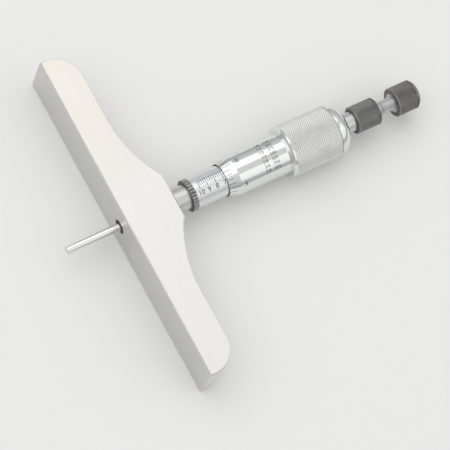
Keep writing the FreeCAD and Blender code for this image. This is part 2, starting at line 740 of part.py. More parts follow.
def make_spring():
    """The coil spring between the clutch ring and the ratchet barrel's rear wall."""
    body = new_body("RatchetSpring", "ratchet_spring", carriage=True)
    wire = s.spring_wire / 2
    mean = s.ratchet_bore / 2 - s.tooth_gap * 2 - wire
    front = clutch_front() + s.clutch_thickness + wire
    back = ratchet_end() - s.ratchet_end_wall - wire
    sketch = new_sketch(body, "Wire_section")
    draw_outline(sketch, [(front - wire, mean - wire), (front + wire, mean - wire),
                          (front + wire, mean + wire), (front - wire, mean + wire)])
    coil = body.newObject("PartDesign::AdditiveHelix", "Coil")
    coil.Profile = sketch
    coil.ReferenceAxis = (origin_part(body, "X_Axis"), [""])
    coil.Mode = "height-turns-angle"
    bind(coil, "Height", back - front)
    bind(coil, "Turns", s.spring_turns)
    doc.recompute()
    return body


def make_snap_ring():
    """The open retaining ring in the tail's groove."""
    body = new_body("SnapRing", "ratchet_snap_ring", carriage=True)
    inner = s.tail_diameter / 2 - s.snap_groove_depth
    outer = s.snap_ring_diameter / 2
    start = snap_station()
    tube(body, "Snap_tube", start, start + s.snap_ring_width, outer, inner)
    half, reach = s.snap_ring_opening / 2, outer + s.overrun
    cut_along(body, "Opening", "YZ_Plane", start,
              [(-half, -reach), (half, -reach), (half, 0), (-half, 0)], s.snap_ring_width)
    return body


# ---------------------------------------------------------------- carriage: rod and cap

def make_rod_seat():
    """The threaded seat on the tail's end: the rod's nut lands on it and the cap screws over it."""
    body = new_body("RodSeat", "rod_seat", carriage=True)
    outer, inner = s.cap_thread_diameter / 2, s.tail_diameter / 2
    tube(body, "Seat", s.cap_station, tail_end(), outer, inner)
    return body


def head_end():
    """Rear end of the rod in the carriage's frame."""
    return tail_end() + s.rod_nut_length + s.jam_nut_length + s.rod_end_standout


def make_rod():
    """The measuring rod, from its flat tip to the end that carries the two nuts."""
    body = new_body("MeasuringRod", "measuring_rod", carriage=True)
    radius = s.rod_diameter / 2
    tip = -s.zero_station
    bevel = s.rod_tip_bevel
    turn(body, "Rod", [
        (tip, 0), (head_end(), 0), (head_end(), radius), (tip + bevel, radius), (tip, radius - bevel)])
    return body


def make_rod_nut(name, label, start, length, diameter):
    """A round nut on the rod's end, with two flats for a wrench."""
    body = new_body(name, label, carriage=True)
    outer, inner = diameter / 2, s.rod_diameter / 2
    tube(body, name + "_turned", start, start + length, outer, inner)
    flat, reach = s.rod_nut_flats / 2, outer + s.overrun
    side = cut_along(body, name + "_flat", "YZ_Plane", start,
                     [(-reach, flat), (reach, flat), (reach, reach), (-reach, reach)], length)
    repeat_round(body, side, name + "_flats", 2)
    return body


def make_cap():
    """The knurled cap that clamps the rod, bored to pass over the rod's nuts."""
    body = new_body("RodCap", "rod_cap", carriage=True)
    outer = s.cap_diameter / 2
    bore = s.cap_thread_diameter / 2 + s.running_gap
    start, end = s.cap_station, s.cap_station + s.cap_length
    floor = end - s.cap_end_wall
    breaks = s.cap_edge_break
    rear = s.cap_rear_bevel
    turn(body, "Cap_turned", [
        (start, bore), (floor, bore), (floor, 0), (end, 0), (end, outer - rear), (end - rear, outer),
        (start + breaks, outer), (start, outer - breaks)])
    plain = rear + s.knurl_margin / 2
    knurl(body, "Cap_knurl", start + s.knurl_margin, s.cap_length - s.knurl_margin - plain, outer)
    return body


def make_thrust_pad():
    """The pad in the cap's floor that bears on the rod's end."""
    body = new_body("ThrustPad", "cap_thrust_pad", carriage=True)
    end = s.cap_station + s.cap_length - s.cap_end_wall
    radius = s.cap_thread_diameter / 2 - s.tooth_gap
    turn(body, "Pad_turned", [(end - s.pad_thickness, 0), (end, 0), (end, radius),
                              (end - s.pad_thickness, radius)])
    return body


# ---------------------------------------------------------------- the whole

def make_all():
    """Every sub-part, from the base to the cap."""
    return [
        make_base(),
        make_barrel(),
        make_guide_bush(),
        make_lock_ring(),
        make_lock_pin(),
        make_sleeve(),
        make_adjusting_nut(),
        make_screw(),
        make_thimble(),
        make_hub(),
        make_clutch(),
        make_ratchet_barrel(),
        make_spring(),
        make_snap_ring(),
        make_rod_seat(),
        make_rod(),
        make_rod_nut("RodNut", "rod_adjusting_nut", tail_end(), s.rod_nut_length, s.rod_nut_diameter),
        make_rod_nut("JamNut", "rod_jam_nut", tail_end() + s.rod_nut_length, s.jam_nut_length,
                     s.jam_nut_diameter),
        make_cap(),
        make_thrust_pad(),
    ]


def check_all(bodies):
    """Stops if any object failed or any sub-part isn't a valid solid."""
    for thing in doc.Objects:
        if "Invalid" in thing.State or "Error" in thing.State:
            raise RuntimeError("%s failed: %s" % (thing.Name, thing.State))
    for body in bodies:
        if body.Shape.isNull() or not body.Shape.isValid() or not body.Shape.Solids:
            raise RuntimeError("%s has no valid solid" % body.Label)


bodies = make_all()
doc.recompute()
check_all(bodies)
os.makedirs("parts", exist_ok=True)
for body in bodies:
    body.Shape.exportStep("parts/%s.step" % body.Label)
    print("%-20s %10.2f mm3  solids %d" % (body.Label, body.Shape.Volume, len(body.Shape.Solids)))
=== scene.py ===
"""Looks of a depth micrometer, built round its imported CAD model. Run it as a script in Blender 4.5."""

import math
from fractions import Fraction

import bmesh
import bpy
from bpy.props import FloatProperty, FloatVectorProperty, IntProperty, PointerProperty
from bpy.types import Operator, Panel, PropertyGroup
from mathutils import Matrix, Vector


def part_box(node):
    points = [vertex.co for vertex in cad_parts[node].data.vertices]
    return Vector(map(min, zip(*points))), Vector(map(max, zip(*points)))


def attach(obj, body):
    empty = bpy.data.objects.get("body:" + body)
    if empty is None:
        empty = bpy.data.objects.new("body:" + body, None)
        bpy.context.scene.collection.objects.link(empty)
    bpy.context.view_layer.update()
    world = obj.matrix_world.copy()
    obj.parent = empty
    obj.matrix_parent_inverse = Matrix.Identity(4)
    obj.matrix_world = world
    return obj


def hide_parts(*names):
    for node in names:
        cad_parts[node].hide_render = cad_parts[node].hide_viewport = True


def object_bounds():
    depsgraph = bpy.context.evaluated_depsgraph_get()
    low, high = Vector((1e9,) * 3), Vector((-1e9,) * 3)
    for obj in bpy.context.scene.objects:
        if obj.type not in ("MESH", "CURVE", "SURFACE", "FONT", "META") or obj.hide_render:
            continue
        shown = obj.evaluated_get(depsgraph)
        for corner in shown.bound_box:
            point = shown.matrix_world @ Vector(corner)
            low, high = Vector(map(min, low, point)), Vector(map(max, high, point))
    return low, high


bl_info = {
    "name": "Depth micrometer looks",
    "version": (1, 0, 0),
    "blender": (4, 5, 0),
    "location": "3D View > Sidebar > Micrometer",
    "description": "Finishes, knurls, numbers and the stage of a depth micrometer",
    "category": "Object",
}

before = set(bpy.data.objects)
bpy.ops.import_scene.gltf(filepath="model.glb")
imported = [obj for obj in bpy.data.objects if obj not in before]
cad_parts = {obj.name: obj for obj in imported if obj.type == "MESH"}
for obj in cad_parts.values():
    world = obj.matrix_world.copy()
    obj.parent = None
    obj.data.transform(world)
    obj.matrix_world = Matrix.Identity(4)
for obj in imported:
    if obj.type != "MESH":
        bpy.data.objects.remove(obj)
CAD_BOX = [list(corner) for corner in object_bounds()]

MM = 0.001


def edge(node, side):
    """Front (0) or rear (1) end of a CAD node along the axis, in millimetres."""
    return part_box(node)[side].x / MM


def outside(node):
    """Outer radius of a turned CAD node, in millimetres."""
    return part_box(node)[1].z / MM


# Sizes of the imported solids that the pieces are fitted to, in millimetres and degrees.
SLEEVE_RADIUS = 4.65
SLEEVE_INK_RADIUS = 4.615
SLEEVE_INK_REACH = 0.25
SLEEVE_INK_START = 24.0
SLEEVE_INK_END = 51.0
SLEEVE_ZERO = 50.3
SLEEVE_STEP = 2.54
SLEEVE_NUMBERS = 11
SLEEVE_NUMBER_GAP = 0.45
DATUM_ANGLE = 20.0
LONG_MARK_SWEEP = 30.0
THIMBLE_FRONT = edge("thimble", 0)
LIP_RADIUS = 5.25
BEVEL_LENGTH = 3.5
BORE_RADIUS = 4.95
THIMBLE_RADIUS = 6.15
THIMBLE_LENGTH = 40.8
THIMBLE_MARKS = 25
NUMBERED_MARKS = 5
SHORT_MARK = 0.55 * BEVEL_LENGTH
LONG_MARK = 0.85 * BEVEL_LENGTH
MARK_DEPTH = 0.1
MARK_HALF_WIDTH = 0.08
MARK_FLOOR_SHARE = 0.9
MARK_END = 0.02
STEPS_BETWEEN_MARKS = 5
THIMBLE_NUMBER_GAP = 1.5
FRONT_RIM = 0.04
GRIP_START = 20.2
GRIP_FOOT = 0.05
GRIP_BREAK = 0.5
SHOULDER_STEPS = 16
SHOULDER_RADIUS = 3.8
END_WALL = 2.2
TAPER_END = 2.2
TAPER_SEAT = 2.475
TABLE_STATION = 14.2
TABLE_TURN = 50.0
TABLE_STEP = 13.5
TABLE_PARTS = 8
TABLE_LABEL_SHIFT = -1.7
TABLE_VALUE_SHIFT = 1.3
GRIP_RADIUS = outside("thimble")
KNURL_START = THIMBLE_FRONT + 21.2
KNURL_END = THIMBLE_FRONT + 36.7
KNURL_GAP = 0.02
TAIL_RADIUS = 1.9
TAIL_THREAD_START = edge("ratchet_snap_ring", 1) + 0.7
TAIL_THREAD_END = edge("rod_cap", 0) - 0.2
TAIL_THREAD_SHARE = 0.8
TAIL_SHARP_ANGLE = 40.0
LOCK_RING_RADIUS = outside("lock_ring")
RATCHET_RADIUS = outside("ratchet_barrel")
CAP_RADIUS = outside("rod_cap")
KNOB_SIDES = 96
KNOB_MARGIN = 0.5
KNOB_FLOOR_SHARE = 1.5
RATCHET_BORE = 3.2
RATCHET_TAIL_HOLE = 1.93
RATCHET_END_WALL = 1.0
RATCHET_BREAK = 0.35
RATCHET_COLUMNS = 94
RATCHET_ROWS = 26
CAP_BORE = 2.93
CAP_END_WALL = 0.9
CAP_END_RING = 1.2
CAP_FRONT_BREAK = 0.3
CAP_REAR_BREAK = 0.8
CAP_REAR_MARGIN = 0.25
CAP_COLUMNS = 100
CAP_ROWS = 22
NEAR = 0.01

# Height of a figure as a share of the font's size, and how lettering is laid on a round surface.
FIGURE_SHARE = 0.72
INK_SINK = 0.03 * MM
LETTER_SLICES = 10

# The stage, in metres.
FLOOR_REACH = 3.0
FLOOR_GAP = 0.02 * MM
KEY_PLACE = (-0.25, 0.35, 0.85)
KEY_SIZE = (1.7, 1.2)
FILL_PLACE = (0.55, -0.45, 0.55)
FILL_SIZE = (0.9, 0.7)


def colour(default, name, description):
    """A colour that a user may change."""
    return FloatVectorProperty(
        name=name, description=description, subtype="COLOR", size=3, min=0.0, max=1.0, default=default
    )


def length(default, name, description, precision=5):
    """A length that a user may change, with its default in millimetres."""
    return FloatProperty(
        name=name,
        description=description,
        default=default * MM,
        min=0.0,
        unit="LENGTH",
        precision=precision,
    )


def turn(default, name, description):
    """An angle that a user may change, with its default in degrees."""
    return FloatProperty(
        name=name, description=description, subtype="ANGLE", default=math.radians(default)
    )


class MicrometerFinishes(PropertyGroup):
    """Colours of the finishes."""

    ground: colour((0.80, 0.79, 0.77), "Ground steel", "Ground faces of the base")
    warm: colour((0.80, 0.755, 0.70), "Warm steel", "Oiled tone towards one end of the base")
    chrome: colour((0.80, 0.81, 0.81), "Satin chrome", "Sleeve and thimble")
    turned: colour((0.62, 0.62, 0.60), "Turned steel", "Barrel, neck and nuts")
    hardened: colour((0.58, 0.59, 0.61), "Hardened steel", "Screw, lock pin and clutch ring")
    polished: colour((0.86, 0.86, 0.85), "Polished steel", "Measuring rod")
    oxide: colour((0.270, 0.278, 0.260), "Black oxide", "Lock ring, ratchet barrel and snap ring")
    cap: colour((0.260, 0.238, 0.228), "Browned oxide", "Rod cap")
    worn: colour((0.42, 0.42, 0.40), "Worn crest", "Bare steel on the crests of a black knurl")
    bronze: colour((0.62, 0.42, 0.22), "Bronze", "Guide bush and thrust pad")
    spring: colour((0.50, 0.50, 0.52), "Spring steel", "Ratchet spring")
    ink: colour((0.02, 0.02, 0.022), "Ink", "Filling of marks and numbers")


class MicrometerGrip(PropertyGroup):
    """Sizes of the knurled grip."""

    columns: IntProperty(
        name="Columns",
        description="Half pitches of the knurl round the grip",
        default=116,
        min=24,
        max=400,
        step=2,
    )
    rows: IntProperty(
        name="Rows",
        description="Half pitches of the knurl along the grip",
        default=36,
        min=8,
        max=200,
        step=2,
    )
    depth: length(0.24, "Depth", "Depth of the knurl")
    knob_depth: length(0.15, "Knob depth", "Depth of the knurl on the ratchet barrel and the cap")
    wall: length(0.15, "Wall", "Metal kept under the knurl")


class MicrometerMarks(PropertyGroup):
    """Sizes of the numbers."""

    sleeve_height: length(1.5, "Sleeve numbers", "Height of the sleeve's numbers")
    thimble_height: length(1.5, "Thimble numbers", "Height of the thimble's numbers")
    table_height: length(0.95, "Table", "Height of the table of eighths")
    proud: length(0.012, "Ink height", "How far the ink stands above the metal", 6)


class MicrometerTail(PropertyGroup):
    """Sizes of the thread on the tail of the screw."""

    pitch: length(0.5, "Pitch", "Pitch of the tail's thread")
    height: length(0.16, "Height", "Height of the thread's ridge")


class MicrometerStage(PropertyGroup):
    """Camera, lamps and floor."""

    azimuth: turn(-58.40, "Azimuth", "Camera's angle round the object")
    elevation: turn(66.80, "Elevation", "Camera's angle above the floor")
    roll: turn(31.44, "Roll", "Camera's turn about its own axis")
    distance: FloatProperty(
        name="Distance", description="From the aim to the camera", default=0.7312, unit="LENGTH"
    )
    aim: FloatVectorProperty(
        name="Aim",
        description="Point that the camera looks at",
        subtype="TRANSLATION",
        default=(0.0302, -0.0107, -0.0068),
    )
    lens: FloatProperty(name="Lens", description="Focal length in millimetres", default=205.0)
    key_power: FloatProperty(
        name="Key lamp", description="Power of the large soft lamp", default=4.2, unit="POWER"
    )
    fill_power: FloatProperty(
        name="Fill lamp", description="Power of the second lamp", default=0.8, unit="POWER"
    )
    sky: FloatProperty(name="Sky", description="Strength of the surroundings", default=0.75)
    floor: colour((0.86, 0.86, 0.85), "Floor", "Colour of the pale floor")


class Field:
    """A socket of a shader tree that works in a Python expression."""

    def __init__(self, finish, socket):
        self.finish = finish
        self.socket = socket

    def combine(self, operation, first, second=None):
        inputs = {0: first} if second is None else {0: first, 1: second}
        return self.finish.node("ShaderNodeMath", {"operation": operation}, inputs)

    def __add__(self, other):
        return self.combine("ADD", self, other)

    __radd__ = __add__

    def __sub__(self, other):
        return self.combine("SUBTRACT", self, other)

    def __rsub__(self, other):
        return self.combine("SUBTRACT", other, self)

    def __mul__(self, other):
        return self.combine("MULTIPLY", self, other)

    __rmul__ = __mul__

    def __pow__(self, other):
        return self.combine("POWER", self, other)

    def __abs__(self):
        return self.combine("ABSOLUTE", self)

    def __gt__(self, other):
        return self.combine("GREATER_THAN", self, other)

    def __lt__(self, other):
        return self.combine("LESS_THAN", self, other)


class Finish:
    """A material made of nodes, with one method that adds any node."""

    def __init__(self, name):
        self.material = bpy.data.materials.new(name)
        self.material.use_nodes = True
        self.tree = self.material.node_tree
        self.tree.nodes.clear()
        place = self.node("ShaderNodeTexCoord", output="Object")
        place = self.node("ShaderNodeVectorMath", {"operation": "SCALE"}, {0: place, "Scale": 1.0 / MM})
        self.facing = self.node("ShaderNodeTexCoord", output="Normal")
        self.x, self.y, self.z = self.split(place)
        self.radius = (self.y * self.y + self.z * self.z) ** 0.5

    def node(self, kind, settings=None, inputs=None, output=0):
        """Adds a node and gives back one of its outputs."""
        made = self.tree.nodes.new(kind)
        for key, value in (settings or {}).items():
            if key == "stops":
                self.set_stops(made.color_ramp, value)
            else:
                setattr(made, key, value)
        for key, value in (inputs or {}).items():
            if isinstance(value, Field):
                self.tree.links.new(value.socket, made.inputs[key])
            else:
                made.inputs[key].default_value = value
        return Field(self, made.outputs[output]) if made.outputs else made

    @staticmethod
    def set_stops(ramp, stops):
        while len(ramp.elements) < len(stops):
            ramp.elements.new(1.0)
        for element, (position, value) in zip(ramp.elements, stops):
            element.position = position
            element.color = (value, value, value, 1.0)

    def split(self, vector):
        parts = self.tree.nodes.new("ShaderNodeSeparateXYZ")
        self.tree.links.new(vector.socket, parts.inputs[0])
        return [Field(self, parts.outputs[axis]) for axis in "XYZ"]

    def join(self, x, y, z):
        return self.node("ShaderNodeCombineXYZ", None, {"X": x, "Y": y, "Z": z})

    def stretched(self, scale, detail=2.0, rough=0.5):
        """Noise with its own fineness along each axis, in cycles per millimetre."""
        where = self.join(self.x * scale[0], self.y * scale[1], self.z * scale[2])
        inputs = {"Vector": where, "Scale": 1.0, "Detail": detail, "Roughness": rough}
        return self.node("ShaderNodeTexNoise", None, inputs, "Fac")

    def ramp(self, value, low, high):
        """0 below low, 1 above high, smooth between them."""
        settings = {"interpolation_type": "SMOOTHSTEP"}
        inputs = {"Value": value, "From Min": low, "From Max": high, "To Min": 0.0, "To Max": 1.0}
        return self.node("ShaderNodeMapRange", settings, inputs)

    def blend(self, mask, first, second):
        """A colour between two colours, which are inputs 6 and 7 of the node's colour form."""
        settings = {"data_type": "RGBA", "clamp_factor": True}
        ends = [item if isinstance(item, Field) else (*item, 1.0) for item in (first, second)]
        return self.node("ShaderNodeMix", settings, {0: mask, 6: ends[0], 7: ends[1]}, 2)

    def relief(self, height, distance, strength=1.0):
        """A bump from a height between 0 and 1, of a depth in millimetres."""
        inputs = {"Strength": strength, "Distance": distance * MM, "Height": height}
        return self.node("ShaderNodeBump", None, inputs, "Normal")

    def metal(self, base, roughness, relief, metallic=1.0, coat=0.0):
        """Ends the material as a metal surface."""
        inputs = {
            "Base Color": base,
            "Roughness": roughness,
            "Metallic": metallic,
            "Normal": relief,
            "Coat Weight": coat,
        }
        surface = self.node("ShaderNodeBsdfPrincipled", None, inputs)
        self.node("ShaderNodeOutputMaterial", None, {"Surface": surface})
        return self.material


def chosen_colours():
    """The colours that the user has set."""
    return bpy.context.scene.micrometer_finishes


def ground_steel():
    """Ground faces with fine lines along the base, lapped measuring face, and chamfered edges painted
    lighter, partly as polished wear and partly as a painted highlight.
    """
    tones = chosen_colours()
    f = Finish("ground_steel")
    nx, _, nz = f.split(f.facing)
    hairs = f.stretched((14.0, 0.35, 14.0), 3.0, 0.6)
    lines = f.stretched((4.5, 0.16, 4.5), 4.0, 0.6)
    cross = f.stretched((0.5, 9.0, 9.0), 3.0, 0.6)
    clouds = f.stretched((0.05, 0.05, 0.05), 3.0)
    stains = f.stretched((0.35, 0.25, 0.35), 4.0, 0.65)
    specks = f.stretched((3.0, 3.0, 3.0), 3.0, 0.7)
    lapped = f.ramp(nx * -1.0, 0.9, 0.98)
    worn_rim_and_highlight = f.ramp(abs(nz) * (1.0 - abs(nz)), 0.12, 0.2)
    warmth = f.ramp(f.y + clouds * 40.0, 5.0, 75.0) * (1.0 - lapped)
    tone = f.blend(warmth, tones.ground, tones.warm)
    tone = f.blend(lapped * 0.6, tone, (0.60, 0.60, 0.59))
    tone = f.blend(f.ramp(lines, 0.4, 0.7) * 0.07, tone, (0.50, 0.50, 0.49))
    tone = f.blend(f.ramp(hairs, 0.5, 0.72) * 0.10, tone, (0.46, 0.46, 0.45))
    tone = f.blend(f.ramp(stains, 0.58, 0.8) * 0.10, tone, (0.62, 0.58, 0.52))
    tone = f.blend(f.ramp(specks, 0.7, 0.8) * 0.22, tone, (0.40, 0.38, 0.36))
    # Chamfered edges painted lighter: partly polished wear, partly a painted highlight.
    tone = f.blend(worn_rim_and_highlight * 0.5, tone, (0.92, 0.92, 0.91))
    rough = 0.33 + lines * 0.08 + hairs * 0.08 + clouds * 0.05 - lapped * 0.08 - worn_rim_and_highlight * 0.12
    bumps = (hairs * 0.5 + lines * 0.5) * (1.0 - lapped) + cross * lapped * 0.6
    return f.metal(tone, rough, f.relief(bumps, 0.010, 0.7))


def chrome_tone(f, tones):
    """Satin chrome: fine lines round the axis, faint handling marks."""
    rings = f.stretched((14.0, 0.35, 0.35), 3.0, 0.6)
    clouds = f.stretched((0.12, 0.25, 0.25), 3.0)
    smears = f.stretched((0.5, 0.9, 0.9), 4.0, 0.6)
    tone = f.blend(f.ramp(clouds, 0.35, 0.7) * 0.22, tones.chrome, (0.66, 0.67, 0.68))
    rough = 0.27 + rings * 0.12 + f.ramp(smears, 0.45, 0.75) * 0.10
    return tone, rough, rings


def satin_chrome(name="satin_chrome", inked=False):
    """Satin chrome, with ink in the sleeve's cut marks where it is asked for."""
    tones = chosen_colours()
    f = Finish(name)
    tone, rough, rings = chrome_tone(f, tones)
    if inked:
        ink = (f.radius > SLEEVE_RADIUS - SLEEVE_INK_REACH) * (f.radius < SLEEVE_INK_RADIUS)
        ink = ink * (f.x > SLEEVE_INK_START) * (f.x < SLEEVE_INK_END)
        tone = f.blend(ink, tone, tones.ink)
        rough = rough + ink * 0.3
        return f.metal(tone, rough, f.relief(rings, 0.006, 0.6), metallic=1.0 - ink)
    return f.metal(tone, rough, f.relief(rings, 0.006, 0.6))


def knurled_chrome():
    """Matte chrome knurl: valleys painted darker than the crests as painted shade, with some dirt on top."""
    tones = chosen_colours()
    f = Finish("knurled_chrome")
    crest = f.ramp(f.radius, GRIP_RADIUS - 0.26, GRIP_RADIUS)
    grime_and_shade = f.stretched((0.3, 0.3, 0.3), 4.0, 0.6)
    grit = f.stretched((9.0, 9.0, 9.0), 2.0)
    # Valleys painted darker than the crests: painted shade in the knurl's grooves.
    tone = f.blend(crest, (0.70, 0.70, 0.685), (0.90, 0.90, 0.89))
    # Dirt in the valleys, which also deepens the painted shade there.
    tone = f.blend(f.ramp(grime_and_shade, 0.5, 0.8) * (1.0 - crest) * 0.35, tone, (0.42, 0.41, 0.38))
    rough = 0.50 - crest * 0.14 + grit * 0.08
    return f.metal(tone, rough, f.relief(grit, 0.008, 0.5))


def turned_steel(name="turned_steel", key="turned"):
    """Turned steel with the tool's rings round the axis."""
    tones = chosen_colours()
    f = Finish(name)
    rings = f.stretched((9.0, 0.2, 0.2), 3.0, 0.6)
    clouds = f.stretched((0.2, 0.3, 0.3), 3.0)
    tone = f.blend(f.ramp(rings, 0.35, 0.7) * 0.35, getattr(tones, key), (0.74, 0.74, 0.73))
    tone = f.blend(f.ramp(clouds, 0.5, 0.8) * 0.3, tone, (0.42, 0.41, 0.39))
    rough = 0.26 + rings * 0.14 + clouds * 0.05
    return f.metal(tone, rough, f.relief(rings, 0.012, 0.7))


def polished_steel():
    """Lapped rod: nearly a mirror, with faint rings and hairlines along it."""
    tones = chosen_colours()
    f = Finish("polished_steel")
    rings = f.stretched((18.0, 0.4, 0.4), 2.0)
    hairs = f.stretched((0.15, 12.0, 12.0), 2.0)
    tone = f.blend(f.ramp(hairs, 0.55, 0.75) * 0.2, tones.polished, (0.70, 0.70, 0.70))
    rough = 0.13 + rings * 0.06 + hairs * 0.05
    return f.metal(tone, rough, f.relief(rings, 0.004, 0.5))


def black_oxide(name, crest_radius, key):
    """Oxide black, oiled, with bare worn crests and valleys painted darker and browner as painted shade."""
    tones = chosen_colours()
    f = Finish(name)
    grain = f.stretched((5.0, 5.0, 5.0), 4.0, 0.65)
    patches = f.stretched((0.4, 0.4, 0.4), 3.0)
    rubs = f.stretched((0.8, 1.6, 1.6), 3.0, 0.6)
    crest = f.ramp(f.radius + grain * 0.05, crest_radius - 0.05, crest_radius + 0.02)
    valley_shade = 1.0 - f.ramp(f.radius, crest_radius - 0.17, crest_radius - 0.05)
    tone = f.blend(f.ramp(patches, 0.4, 0.7) * 0.4, getattr(tones, key), (0.175, 0.165, 0.150))
    # Valleys painted darker and browner as painted shade in the knurl's grooves.
    tone = f.blend(valley_shade * 0.5, tone, (0.080, 0.074, 0.068))
    tone = f.blend(crest * f.ramp(rubs, 0.35, 0.65) * 0.75, tone, tones.worn)
    rough = 0.30 + grain * 0.16 + patches * 0.06 - crest * 0.06
    return f.metal(tone, rough, f.relief(grain, 0.008, 0.6), metallic=0.85, coat=0.12)


def small_metal(name, base, dark, roughness):
    """Spring wire, bronze and other small parts."""
    f = Finish(name)
    grain = f.stretched((4.0, 4.0, 4.0), 4.0, 0.6)
    patches = f.stretched((0.7, 0.7, 0.7), 3.0)
    tone = f.blend(f.ramp(patches, 0.35, 0.75) * 0.6, base, dark)
    rough = roughness + grain * 0.14
    return f.metal(tone, rough, f.relief(grain, 0.008, 0.5))


def mark_ink():
    """Ink in marks and numbers, a little uneven."""
    tones = chosen_colours()
    f = Finish("mark_ink")
    grain = f.stretched((6.0, 6.0, 6.0), 3.0)
    tone = f.blend(f.ramp(grain, 0.5, 0.9) * 0.5, tones.ink, (0.09, 0.09, 0.09))
    rough = 0.5 + grain * 0.2
    return f.metal(tone, rough, f.relief(grain, 0.004, 0.4), metallic=0.0)


class GeometryTree:
    """A Geometry Nodes tree with named inputs and one method that adds any node."""

    def __init__(self, name, inputs):
        self.tree = bpy.data.node_groups.new(name, "GeometryNodeTree")
        self.named = {}
        for label, kind, default in inputs:
            socket = self.tree.interface.new_socket(label, in_out="INPUT", socket_type=kind)
            if default is not None:
                socket.default_value = default
            self.named[label] = socket.identifier
        self.tree.interface.new_socket("Geometry", in_out="OUTPUT", socket_type="NodeSocketGeometry")
        self.entry = self.tree.nodes.new("NodeGroupInput")
        self.exit = self.tree.nodes.new("NodeGroupOutput")

    def given(self, label):
        return self.entry.outputs[label]

    def node(self, kind, settings=None, inputs=None):
        made = self.tree.nodes.new(kind)
        for key, value in (settings or {}).items():
            setattr(made, key, value)
        for key, value in (inputs or {}).items():
            if isinstance(value, bpy.types.NodeSocket):
                self.tree.links.new(value, made.inputs[key])
            else:
                made.inputs[key].default_value = value
        return made

    def math(self, operation, first, second=None):
        inputs = {0: first} if second is None else {0: first, 1: second}
        return self.node("ShaderNodeMath", {"operation": operation}, inputs).outputs[0]

    def finish(self, geometry, material):
        whole = self.node("GeometryNodeRealizeInstances", None, {0: geometry})
        dressed = self.node("GeometryNodeSetMaterial", None, {0: whole.outputs[0], "Material": material})
        self.tree.links.new(dressed.outputs[0], self.exit.inputs[0])

    def mesh(self, name, values):
        """A plain mesh of the tree's result, with its inputs set by their identifiers."""
        host = bpy.data.objects.new(name, bpy.data.meshes.new(name))
        bpy.context.scene.collection.objects.link(host)
        modifier = host.modifiers.new(name, "NODES")
        modifier.node_group = self.tree
        for label, value in values.items():
            modifier[self.named[label]] = value
        graph = bpy.context.evaluated_depsgraph_get()
        made = bpy.data.meshes.new_from_object(host.evaluated_get(graph))
        bpy.data.objects.remove(host)
        if not made.polygons:
            raise RuntimeError(f"{name} came out empty")
        return made


def knurl_tree():
    """A closed ring whose outside is a diamond knurl."""
    t = GeometryTree(
        "Diamond knurl",
        [
            ("Columns", "NodeSocketInt", 116),
            ("Rows", "NodeSocketInt", 36),
            ("Start", "NodeSocketFloat", 0.0),
            ("End", "NodeSocketFloat", 0.01),
            ("Outer Radius", "NodeSocketFloat", 0.007),
            ("Inner Radius", "NodeSocketFloat", 0.006),
            ("Depth", "NodeSocketFloat", 0.0003),
            ("Finish", "NodeSocketMaterial", None),
        ],
    )
    columns, rows = t.given("Columns"), t.given("Rows")
    grid = t.node(
        "GeometryNodeMeshGrid",
        None,
        {
            "Size X": 1.0,
            "Size Y": 1.0,
            "Vertices X": t.math("ADD", columns, 1.0),
            "Vertices Y": t.math("ADD", rows, 4.0),
        },
    )
    position = t.node("GeometryNodeInputPosition").outputs[0]
    flat = t.node("ShaderNodeSeparateXYZ", None, {0: position})
    around = t.math("ROUND", t.math("MULTIPLY", t.math("ADD", flat.outputs[0], 0.5), columns))
    spread = t.math("MULTIPLY", t.math("ADD", flat.outputs[1], 0.5), t.math("ADD", rows, 3.0))
    step = t.math("SUBTRACT", t.math("ROUND", spread), 1.0)
    last = t.math("GREATER_THAN", step, t.math("ADD", rows, 1.5))
    share = t.math("MINIMUM", t.math("MAXIMUM", t.math("DIVIDE", step, rows), 0.0), 1.0)
    share = t.math("MULTIPLY", share, t.math("SUBTRACT", 1.0, last))
    knurled = t.math(
        "MULTIPLY",
        t.math("GREATER_THAN", step, 0.5),
        t.math("LESS_THAN", step, t.math("SUBTRACT", rows, 0.5)),
    )
    odd = t.math("FLOORED_MODULO", t.math("ADD", around, step), 2.0)
    crest = t.math("MULTIPLY", t.math("GREATER_THAN", odd, 0.5), knurled)
    inside = t.math(
        "MAXIMUM",
        t.math("LESS_THAN", step, -0.5),
        t.math("GREATER_THAN", step, t.math("ADD", rows, 0.5)),
    )
    outer = t.math(
        "SUBTRACT",
        t.given("Outer Radius"),
        t.math("MULTIPLY", t.given("Depth"), t.math("SUBTRACT", 1.0, crest)),
    )
    drop = t.math("MULTIPLY", inside, t.math("SUBTRACT", outer, t.given("Inner Radius")))
    radius = t.math("SUBTRACT", outer, drop)
    angle = t.math("MULTIPLY", t.math("DIVIDE", around, columns), -2.0 * math.pi)
    along = t.math(
        "ADD",
        t.given("Start"),
        t.math("MULTIPLY", share, t.math("SUBTRACT", t.given("End"), t.given("Start"))),
    )
    place = t.node(
        "ShaderNodeCombineXYZ",
        None,
        {
            0: along,
            1: t.math("MULTIPLY", radius, t.math("SINE", angle)),
            2: t.math("MULTIPLY", radius, t.math("COSINE", angle)),
        },
    )
    bent = t.node("GeometryNodeSetPosition", None, {0: grid.outputs[0], "Position": place.outputs[0]})
    closed = t.node("GeometryNodeMergeByDistance", None, {0: bent.outputs[0], "Distance": 1e-6})
    cut = t.node("GeometryNodeTriangulate", {"quad_method": "SHORTEST_DIAGONAL"}, {0: closed.outputs[0]})
    t.finish(cut.outputs[0], t.given("Finish"))
    return t


